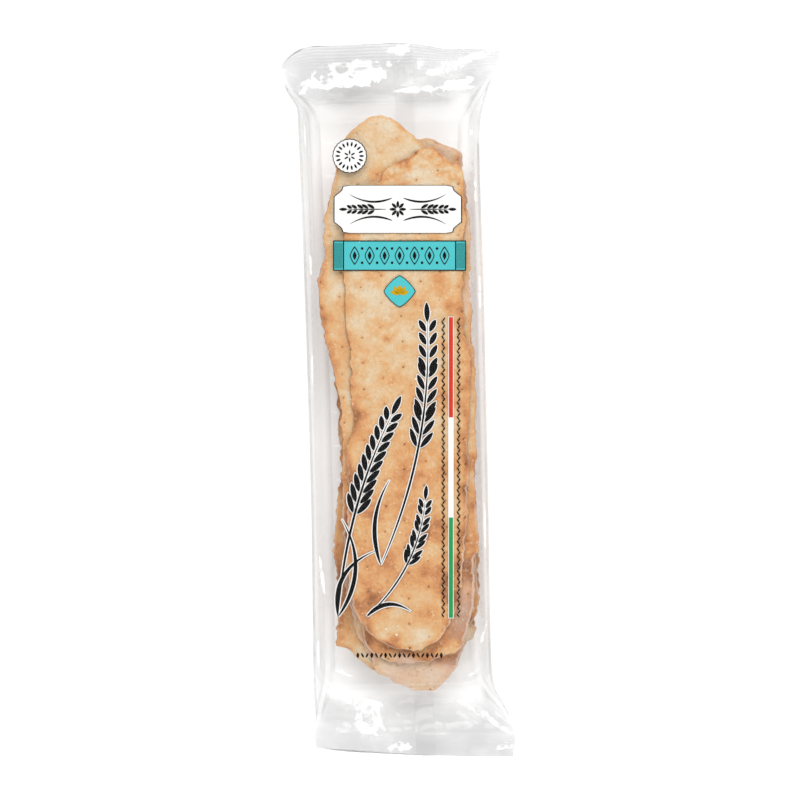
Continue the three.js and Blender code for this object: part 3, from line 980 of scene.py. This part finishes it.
# Painted highlights: white milky patches where the loose film is crumpled, as (across, along,
# half width, half length, turn in degrees) of each splash, and thin painted glints on the film
# drawn over the rim.
PAINTED_SPLASHES = [
    (-26, 182, 25, 5.5, 8), (-24, 189.5, 17, 2.5, 6), (-12, 184, 9, 6, 30), (-6, 186, 6, 8, -10),
    (-46, 179.5, 11, 1.8, 56), (9, 197.5, 11, 2.6, 0), (1, 190, 5, 3, 20), (17.7, 189.5, 2.4, 6.5, -10),
    (39, 189, 28, 2.2, 19), (29, 187, 9, 3.5, 20), (25, 174.6, 24, 2.0, 2), (38, 178, 9, 2.6, 12),
    (-20, -178, 7, 14, -10), (-29, -169, 5, 4, 0), (-14, -181, 8, 1.6, -55), (-3, -195, 9, 2.2, 0),
    (46, -179, 20, 2.2, -35), (34, -170.5, 5, 3, 0), (56, -196, 8, 2.2, 0),
]
PAINTED_GLINTS = [
    (45.5, 149, 0.9, 3.5, -14), (46.8, 118, 0.7, 10, 0), (-46.5, 78, 0.9, 7, 2),
    (47.5, -70, 0.8, 16, 0), (-44.5, -96, 1.2, 12, 6), (-47.5, -140, 0.9, 9, 0),
    (45.2, -132, 1.2, 8, -16), (-48, 150, 0.8, 8, 4), (40, -153, 4, 1.0, 30), (-33, -152, 5, 1.0, -24),
    (-47, 20, 0.7, 14, 0), (48, 60, 0.7, 12, 0),
]


def nearness(spots):
    """How many millimetres each point of the film is inside the nearest of some oval spots,
    or minus how many outside."""
    near = np.full(film_x.shape, -99.0)
    for across, along, half_width, half_length, turn in spots:
        c, s = math.cos(math.radians(turn)), math.sin(math.radians(turn))
        u = (film_x - across) * c + (film_y - along) * s
        v = (film_y - along) * c - (film_x - across) * s
        share = np.maximum(np.hypot(u / half_width, v / half_length), 1e-6)
        near = np.maximum(near, np.hypot(u, v) * (1 / share - 1))
    return near


# Three marks on the film: where it is loose, how far it is dulled and where it has painted
# highlights. It is dulled on the shoulders and flaps and beside the rim, and more in the flaps as
# painted shade over the floor that the lamps light there from beyond the cut ends. It is clearer
# in the leaning sides, and in a place at either end as painted light over the stack's shadow.
# Only the top has painted highlights.
LOOSE_FROM, LOOSE_FULL, LOOSE_DULL = 164, 174, 0.56
FLAP_FROM, FLAP_FULL, FLAP_PAINTED_SHADE = 184, 197, 0.2
RIM_FROM, RIM_FULL, RIM_DULL, RIM_END_DULL = 42, 46.5, 0.19, 0.28
PAINTED_LIGHT_PLACES = [(5, 179, 26, 11, 0.5), (10, -172, 34, 13, 0.5)]
GLARE_REACH = 2.5

from_middle = np.abs(film_y)
wandering = from_middle + 3 * swell(film_x, film_y, 14, 491)
loose = rise(wandering, LOOSE_FROM, LOOSE_FULL)
flap = rise(wandering, FLAP_FROM, FLAP_FULL)
rim_dull = RIM_DULL + RIM_END_DULL * rise(from_middle, 105, 148)
beside_rim = rim_dull * rise(np.abs(film_x), RIM_FROM, RIM_FULL)
# Painted shade: the flaps are dulled more, so that the floor lit from beyond the cut ends shows no
# brighter through them.
dull = np.maximum(LOOSE_DULL * loose + FLAP_PAINTED_SHADE * flap, beside_rim)
# Painted light: the film is made clearer at either end, over the shadow that the stack casts there.
dull *= 1 - strewn(PAINTED_LIGHT_PLACES, film_x, film_y)
on_side = np.ones(film_x.shape[1])
on_side[top_run] = on_side[back_run] = 0
dull *= 1 - 0.6 * on_side * (1 - rise(from_middle, 181, 189))
creased = 1.2 * crumple(film_x, film_y, 7, 421) + 0.9 * crumple(film_x, film_y, 3.2, 431)
# Painted highlights: the mark is high inside a splash or glint and low outside, broken up by the
# creases.
splashed = np.clip(nearness(PAINTED_SPLASHES) / GLARE_REACH, -3, 1) + creased
glinting = np.clip(nearness(PAINTED_GLINTS), -3, 1) - 0.25 + 0.4 * creased
off_top = np.ones(film_x.shape[1])
off_top[top_run] = 0
glare = np.where(loose > 0.05, splashed, glinting) - 3 * off_top


def film_dullness_and_painted_light(look):
    """Loose film lets less through, with lighter clouds in it. The mark also paints shade in the flaps
    and light at either end.
    """
    cloud = (look.noise(16.0) * 0.7 + 0.62).math("MINIMUM", 1.0)
    return look.mark("dull") * cloud


def film_veil_and_painted_highlights(look):
    """The film is faintly cloudy, with painted highlights, white and feathered, where it is crumpled
    and in thin glints over the rim.
    """
    feathers = (look.noise(3.0, 4.0, 0.7, (1.0, 1.5, 1.0)) - 0.5) * 3.0
    return (look.mark("glare") + feathers).step(0.05, 0.3) * 0.5 + 0.003


film_finish = clear_plastic(
    "clear_film",
    clear_tint=(0.998, 0.998, 0.998),
    dull_tint=(0.7, 0.702, 0.703),
    dullness=film_dullness_and_painted_light,
    veil_and_painted_highlights=film_veil_and_painted_highlights,
    sheen=lambda look: look.mark("loose") * 0.012 + 0.004,
    shine=0.22,
    roughness=0.05,
    ripple=(3.5, 0.12, 0.25),
)
film_points = np.stack([film_x, film_y, film_z], -1)
film_faces = net(*film_x.shape, closed=True, ends=2)
film_marks = {"loose": loose, "dull": dull, "glare": glare}
piece("film_bag", film_points, film_faces, film_finish, "film", film_marks)


# The back seam. The two edges of the film are laid over each other down the middle of the
# back, welded in a narrow strip and pressed flat.
SEAM_WIDTH = 11.0
SEAM_HEAD = 8.0
SEAM_FOOT = 11.5
SEAM_GAP = 0.18
SEAM_SHEET = 0.1
WELD_PITCH = 1.6

seam_rows = np.linspace(-SEAL_END + 0.6, SEAL_END - 0.6, 420)[:, None]
seam_share = np.linspace(-0.5, 0.5, 15)
seam_middle = SEAM_FOOT + (SEAM_HEAD - SEAM_FOOT) * (seam_rows + SEAL_END) / (2 * SEAL_END)
seam_x = seam_middle + SEAM_WIDTH * seam_share
seam_x = seam_x + 0.4 * swell(seam_x, seam_rows, 30, 481)
seam_y = np.repeat(seam_rows, seam_share.size, 1)
welded = np.exp(-((seam_share / 0.2) ** 2)) * np.sin(2 * math.pi * seam_rows / WELD_PITCH)
seam_z = film_back(seam_x, seam_y) - SEAM_GAP + 0.05 * welded
seam_y = seal_shape(seam_x, seam_y)
seam_upper = np.stack([seam_x, seam_y, seam_z], -1)
seam_lower = np.stack([seam_x, seam_y, seam_z - SEAM_SHEET], -1)
seam_points = np.concatenate([seam_upper, seam_lower[:, ::-1]], axis=1)
seam_finish = clear_plastic(
    "clear_seam",
    clear_tint=(0.994, 0.994, 0.994),
    dull_tint=(0.9, 0.9, 0.9),
    dullness=lambda look: look.noise(12.0) * 0.12,
    veil_and_painted_highlights=lambda look: look.noise(9.0) * 0.004 + 0.002,
    sheen=lambda look: look.noise(30.0, 1.0) * 0.01 + 0.01,
    shine=0.3,
    roughness=0.08,
    ripple=(3.0, 0.1, 0.2),
)
seam_faces = net(*seam_points.shape[:2], closed=True, ends=2)
piece("back_seam", seam_points, seam_faces, seam_finish, "film")


# The print. Ink laid on the inner face of the film: a white plaque and a small white badge,
# a teal band, a teal lozenge, tall wheat stalks in black edged with cream, a red, white and
# green stripe between rows of small leaves, and a short row of leaves across the foot.
PRINT_TURN = math.radians(1.41)
CREAM_EDGE = 0.55

# How far under the film's outer face each layer of ink lies.
INK_SINK = {"front": 0.16, "middle": 0.24, "back": 0.32}


class Print:
    """One ink: its patches, gathered into one mesh just under the film. Each patch is given
    across and up the picture, in which the print stands straight."""

    def __init__(self, name, slot, layer, color, worn, roughness=0.35):
        self.name = name
        self.slot = slot
        self.sink = INK_SINK[layer]
        self.colors = (color, worn)
        self.roughness = roughness
        self.points = []
        self.faces = []

    def add(self, u, v, faces):
        """A net of points laid on the film's inner face."""
        u, v = np.ravel(u), np.ravel(v)
        x = u * math.cos(PRINT_TURN) + v * math.sin(PRINT_TURN)
        y = v * math.cos(PRINT_TURN) - u * math.sin(PRINT_TURN)
        start = len(self.points)
        self.points += np.column_stack([x, y, film_top(x, y) - self.sink]).tolist()
        self.faces += [[start + corner for corner in face] for face in faces]

    def field(self, middle, outline, rings=3, hole=0.0):
        """A shape round a middle, filled or with a hole: outline(angles) gives the way to its
        edge. Filled shapes with few rings are small, so they have fewer corners."""
        sides = 32 if rings <= 3 and not hole else 96
        edge_u, edge_v = outline(np.linspace(0, 2 * math.pi, sides + 1)[:-1])
        shares = np.linspace(hole, 1, rings + 1)[:, None]
        faces = net(rings + 1, sides, closed=True)
        self.add(middle[0] + edge_u * shares, middle[1] + edge_v * shares, faces)

    def leaves(self, middle, turns, away, half_length, half_width, power=1.4):
        """Leaves that point outward round a middle."""
        for turn in turns:
            place = (middle[0] + away * math.cos(turn), middle[1] + away * math.sin(turn))
            self.field(place, oval(half_length, half_width, turn, power))

    def stroke(self, line, widths):
        """A stroke of the pen along a line, as wide as given at each of its points."""
        ahead = np.gradient(line, axis=0)
        ahead /= np.maximum(np.linalg.norm(ahead, axis=1), 1e-9)[:, None]
        aside = np.stack([-ahead[:, 1], ahead[:, 0]], -1) * widths[:, None] / 2
        sheet = line[:, None] + aside[:, None] * np.array([-1, 0, 1])[None, :, None]
        self.add(sheet[..., 0], sheet[..., 1], net(len(line), 3))

    def panel(self, left, right, low, high):
        """A plain upright panel."""
        columns, rows = (max(int(side / 2), 1) + 1 for side in (right - left, high - low))
        u, v = np.meshgrid(np.linspace(left, right, columns), np.linspace(low, high, rows))
        self.add(u, v, net(rows, columns))

    def finish(self):
        """Printing ink: an even coat that thins a little in patches."""
        look = Look(self.name.replace("print", "ink"))
        coat, fine = look.noise(6.0, 3.0, 0.6), look.noise(0.7)
        thinned = (coat - 0.5) * 0.8 + (fine - 0.5) * 0.5 + 0.35
        shade = look.blend(thinned.step(0.0, 1.0), *self.colors)
        others = {"Specular IOR Level": 0.05, "Normal": look.bump(fine, 0.08, 0.05)}
        return look.finish(look.surface(shade, self.roughness, others))


def oval(half_width, half_height, turn=0.0, power=1.0):
    """Outline of an oval, or of a pointed leaf where the power is above 1."""

    def outline(angles):
        side = np.sin(angles)
        u, v = half_width * np.cos(angles), half_height * np.sign(side) * np.abs(side) ** power
        c, s = math.cos(turn), math.sin(turn)
        return u * c - v * s, u * s + v * c

    return outline


def scalloped(radius, lobes, depth):
    """Outline of a round badge with a scalloped edge."""

    def outline(angles):
        away = radius * (1 - depth + depth * np.abs(np.cos(lobes * angles / 2)))
        return away * np.cos(angles), away * np.sin(angles)

    return outline


def lozenge(half_width, half_height, power=1.25):
    """Outline of a lozenge with slightly rounded corners."""

    def outline(angles):
        c, s = np.cos(angles), np.sin(angles)
        away = (np.abs(c) ** power + np.abs(s) ** power) ** (-1 / power)
        return half_width * away * c, half_height * away * s

    return outline


def notched(half_width, half_height, notch):
    """Outline of a plaque whose four corners are cut in as quarter rounds."""

    def outline(angles):
        c, s = np.cos(angles), np.sin(angles)
        beside, above = np.maximum(np.abs(c), 1e-6), np.maximum(np.abs(s), 1e-6)
        away = np.minimum(half_width / beside, half_height / above)
        u, v = np.abs(away * c), np.abs(away * s)
        step = 0.005 * math.hypot(half_width, half_height)
        for _ in range(40):
            inside = np.hypot(half_width - u, half_height - v) < notch
            u = np.where(inside, u - step * np.abs(c), u)
            v = np.where(inside, v - step * np.abs(s), v)
        return np.sign(c) * u, np.sign(s) * v

    return outline


def bowed(start, end, bow, steps):
    """A line between two places that bows to its left."""
    a, b = np.array(start, float), np.array(end, float)
    t = np.linspace(0, 1, steps)[:, None]
    aside = np.array([-(b - a)[1], (b - a)[0]])
    return a + (b - a) * t + aside * bow * 4 * t * (1 - t)


def pen(steps, widest, lead=0.35):
    """Widths of a pen stroke that swells and runs out to a point at both ends."""
    t = np.linspace(0, 1, steps)
    swelling = np.sin(math.pi * t ** (math.log(0.5) / math.log(lead)))
    return 0.12 + widest * np.clip(swelling, 0, 1)


def wheat_ear(layers, foot, head, bow, pairs, length, width, stem, bare=0.5):
    """An ear of wheat on a bowed stalk that is bare up to a share of its length. layers are
    the inks that it is laid in, each with how far it spreads past the shape."""
    line = bowed(foot, head, bow, 40)
    ahead = np.gradient(line, axis=0)
    for ink, spread in layers:
        ink.stroke(line, pen(40, stem, 0.4) + 2 * spread)
        for k in range(pairs):
            at = int(39 * (bare + (1 - bare) * k / pairs))
            direction = math.atan2(ahead[at, 1], ahead[at, 0])
            aside = 0.3 * width * np.array([-math.sin(direction), math.cos(direction)])
            size = length * (1 - 0.35 * k / pairs)
            for side in (1, -1):
                middle = line[at] + side * aside
                turns = [direction + side * 0.5]
                ink.leaves(middle, turns, size * 0.55, size / 2 + spread, width / 2 + spread, 1.5)
        direction = [math.atan2(ahead[-1, 1], ahead[-1, 0])]
        ink.leaves(line[-1], direction, length * 0.35, length / 2 + spread, width / 2 + spread, 1.5)


white = Print("white_print", "white_print", "back", (0.68, 0.68, 0.67), (0.625, 0.625, 0.616), 0.4)
dark = Print("dark_print", "dark_print", "front", (0.002, 0.002, 0.002), (0.006, 0.005, 0.005), 0.55)
teal = Print("teal_print", "teal_print", "middle", (0.049, 0.366, 0.384), (0.071, 0.402, 0.42))
deep = Print("deep_teal_print", "teal_print", "front", (0.007, 0.107, 0.098), (0.014, 0.143, 0.134))
red = Print("red_print", "stripe_print", "middle", (0.446, 0.027, 0.009), (0.482, 0.04, 0.016))
green = Print("green_print", "stripe_print", "middle", (0.013, 0.21, 0.058), (0.022, 0.25, 0.08))
gold = Print("gold_print", "stripe_print", "front", (0.402, 0.232, 0.002), (0.429, 0.259, 0.004))

# The white plaque, its rule, and an ear of wheat between two blades on each side of a rosette.
PLAQUE_U, PLAQUE_V = 0.5, 107.5
PLAQUE = notched(36.0, 13.5, 5.0)
white.field((PLAQUE_U, PLAQUE_V), PLAQUE, 12)
dark.field((PLAQUE_U, PLAQUE_V), PLAQUE, 1, hole=0.985)
for side in (1, -1):
    start, end = (PLAQUE_U + side * 6.5, PLAQUE_V), (PLAQUE_U + side * 29, PLAQUE_V)
    wheat_ear([(dark, 0.0)], start, end, 0.0, 5, 4.6, 1.7, 0.5, bare=0.3)
    for row in (1, -1):
        start = (PLAQUE_U + side * 3, PLAQUE_V + row * 6.4)
        end = (PLAQUE_U + side * 27, PLAQUE_V + row * 8.4)
        dark.stroke(bowed(start, end, side * row * -0.13, 28), pen(28, 1.0))
dark.leaves((PLAQUE_U, PLAQUE_V), np.arange(8) * math.pi / 4, 2.8, 1.9, 0.8)

# The small badge: a ring of grains round a rosette.
BADGE_MIDDLE = (-26.5, 137.4)
BADGE = scalloped(9.8, 24, 0.04)
white.field(BADGE_MIDDLE, BADGE, 8)
dark.field(BADGE_MIDDLE, BADGE, 1, hole=0.95)
dark.leaves(BADGE_MIDDLE, 2 * math.pi * np.arange(18) / 18, 6.7, 1.35, 0.55)
dark.leaves(BADGE_MIDDLE, 2 * math.pi * (np.arange(6) + 0.5) / 6, 2.1, 1.3, 0.45)

# The teal band with a dark rule round it, hatched ends and a row of small lozenges and dots.
BAND_U, BAND_V = 1.5, 81.5
BAND_LEFT, BAND_RIGHT, BAND_LOW, BAND_HIGH = BAND_U - 37, BAND_U + 37, BAND_V - 8.2, BAND_V + 8.2
BAND_END = 5.6
BAND_PITCH = 8.4
RULE = 0.3
teal.panel(BAND_LEFT, BAND_RIGHT, BAND_LOW, BAND_HIGH)
for edge in (BAND_LOW, BAND_HIGH):
    dark.panel(BAND_LEFT, BAND_RIGHT, edge - RULE, edge + RULE)
for edge in (BAND_LEFT, BAND_RIGHT, BAND_LEFT + BAND_END, BAND_RIGHT - BAND_END):
    dark.panel(edge - RULE, edge + RULE, BAND_LOW - RULE, BAND_HIGH + RULE)
for edge in (BAND_LEFT, BAND_RIGHT - BAND_END):
    for k in range(10):
        u = edge + BAND_END * (k + 0.5) / 10
        deep.panel(u - 0.16, u + 0.16, BAND_LOW + 1, BAND_HIGH - 1)
for k in range(-3, 4):
    dark.field((BAND_U + k * BAND_PITCH, BAND_V), lozenge(2.8, 5.2), 1, hole=0.82)
    dark.field((BAND_U + k * BAND_PITCH, BAND_V), lozenge(1.1, 2.4))
for k in range(6):
    for row in (-4, 4):
        dark.field((BAND_U + (k - 2.5) * BAND_PITCH, BAND_V + row), oval(0.75, 0.75))

# The teal lozenge with five golden petals in it.
LOZENGE_MIDDLE = (1.5, 61.5)
teal.field(LOZENGE_MIDDLE, lozenge(9.0, 9.0), 6)
dark.field(LOZENGE_MIDDLE, lozenge(9.0, 9.0), 1, hole=0.95)
petal_turns = math.pi / 2 + (np.arange(5) - 2) * 0.62
gold.leaves((LOZENGE_MIDDLE[0], LOZENGE_MIDDLE[1] - 1.8), petal_turns, 2.8, 2.5, 1.15, 1.3)

# Tall wheat stalks and long blades in black, edged with cream.
edged = [(dark, 0.0), (white, CREAM_EDGE)]
wheat_ear(edged, (-33, -121), (-2, -6), 0.05, 10, 11.5, 3.2, 1.2)
wheat_ear(edged, (-9, -92), (17, 46), -0.06, 11, 11.0, 3.0, 1.1)
wheat_ear(edged, (-17, -121), (16, -54), -0.1, 8, 8.0, 2.3, 0.8)
BLADES = [
    ((-33, -121), (-31, -66), -0.16), ((-33, -121), (-12, -84), 0.2),
    ((-9, -92), (-4, -44), 0.12), ((-17, -121), (8, -118), 0.22),
]
for blade in BLADES:
    for ink, spread in edged:
        ink.stroke(bowed(*blade, 32), pen(32, 2.2) + 2 * spread)

# The striped rule with a thin white edge, and a garland of small leaves on each side.
STRIPE_LEFT, STRIPE_RIGHT = 29.15, 31.45
STRIPE_HEAD = 47.0
STRIPE_FOOT = -121.5
STRIPE_EDGE = 0.35
GARLAND_COLUMNS = (26.0, 34.6)
GARLAND_PITCH = 2.05
GARLAND_LEAN = 0.6
stripe = (STRIPE_HEAD - STRIPE_FOOT) / 3
stripe_sides = (STRIPE_LEFT - STRIPE_EDGE, STRIPE_RIGHT + STRIPE_EDGE)
white.panel(*stripe_sides, STRIPE_FOOT - STRIPE_EDGE, STRIPE_HEAD + STRIPE_EDGE)
red.panel(STRIPE_LEFT, STRIPE_RIGHT, STRIPE_HEAD - stripe, STRIPE_HEAD)
green.panel(STRIPE_LEFT, STRIPE_RIGHT, STRIPE_FOOT, STRIPE_FOOT + stripe)
for column in GARLAND_COLUMNS:
    for k in range(int((STRIPE_HEAD - STRIPE_FOOT) / GARLAND_PITCH)):
        lean_over = GARLAND_LEAN if k % 2 else -GARLAND_LEAN
        place = (column - 0.55 * math.sin(lean_over), STRIPE_HEAD - 1.2 - k * GARLAND_PITCH)
        dark.field(place, oval(0.42, 1.25, lean_over, 1.2), 2)

# A short row of leaves and lozenges across the foot.
FOOT_ROW = (1.5, -142.6)
for k in range(-9, 10):
    place = (FOOT_ROW[0] + k * 2.6, FOOT_ROW[1])
    if k % 3 == 0:
        dark.field(place, lozenge(0.9, 1.7))
    else:
        dark.field(place, oval(0.55, 1.5, 0.5 if k % 3 == 1 else -0.5, 1.2), 2)

for ink in (white, dark, teal, deep, red, green, gold):
    piece(ink.name, ink.points, ink.faces, ink.finish(), ink.slot)


# The table, a plain near-white sheet, and soft studio light: an even white surround, a wide
# soft panel up beyond the head of the bag and a weaker one up beyond its foot. Sizes and
# places here are in metres, but for the camera's aim in millimetres.
FLOOR_HALF = 4.0
FLOOR_DROP = 0.0003
SURROUND = 0.84


def white_board():
    """Matt white board with the faintest mottling."""
    look = Look("white_board")
    color = look.blend(look.noise(40.0), (0.93, 0.93, 0.93), (0.91, 0.91, 0.91))
    return look.finish(look.surface(color, 0.9, {"Specular IOR Level": 0.0}))


floor_mesh = bpy.data.meshes.new("floor")
corners = [(-1, -1), (1, -1), (1, 1), (-1, 1)]
floor_points = [(x * FLOOR_HALF, y * FLOOR_HALF, -FLOOR_DROP) for x, y in corners]
floor_mesh.from_pydata(floor_points, [], [(0, 1, 2, 3)])
floor_mesh.materials.append(white_board())
floor = bpy.data.objects.new("floor", floor_mesh)
bpy.context.scene.collection.objects.link(floor)
floor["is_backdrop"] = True

surround = bpy.data.worlds.new("surround")
surround.use_nodes = True
surround.node_tree.nodes["Background"].inputs["Color"].default_value = (1.0, 1.0, 1.0, 1.0)
surround.node_tree.nodes["Background"].inputs["Strength"].default_value = SURROUND
bpy.context.scene.world = surround


def soft_panel(name, place, width, height, watts):
    """A rectangular soft light at a place, turned towards the bag."""
    data = bpy.data.lights.new(name, "AREA")
    data.shape = "RECTANGLE"
    data.size = width
    data.size_y = height
    data.energy = watts
    lamp = bpy.data.objects.new(name, data)
    lamp.location = place
    to_bag = Vector((0, 0, 0.02)) - Vector(place)
    lamp.rotation_euler = to_bag.to_track_quat("-Z", "Y").to_euler()
    bpy.context.scene.collection.objects.link(lamp)


soft_panel("head_panel", (0.05, 1.8, 1.85), 3.0, 1.9, 67.0)
soft_panel("foot_panel", (0.4, -2.6, 1.8), 2.4, 1.4, 51.5)

# The camera looks straight down on the bag, turned so that its head leans a little left.
CAMERA_HEIGHT = 5.0
VIEW_WIDTH = 0.4488
VIEW_LEVEL = 0.028
AIM_ACROSS = 1.75
AIM_ALONG = 0.52
lens = bpy.data.cameras.new("camera")
lens.sensor_width = 36.0
lens.lens = lens.sensor_width * CAMERA_HEIGHT / VIEW_WIDTH
lens.clip_end = 20.0
camera = bpy.data.objects.new("camera", lens)
camera.location = ((tray_x + AIM_ACROSS) * MM, AIM_ALONG * MM, VIEW_LEVEL + CAMERA_HEIGHT)
camera.rotation_euler = (0, 0, -PRINT_TURN)
bpy.context.scene.collection.objects.link(camera)
bpy.context.scene.camera = camera
bpy.context.scene.view_settings.view_transform = "Standard"
bpy.context.scene.cycles.transparent_max_bounces = 32

sizes = {"cad": cad_box, "visual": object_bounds()}
{name: [list(corner) for corner in box] for name, box in sizes.items()}
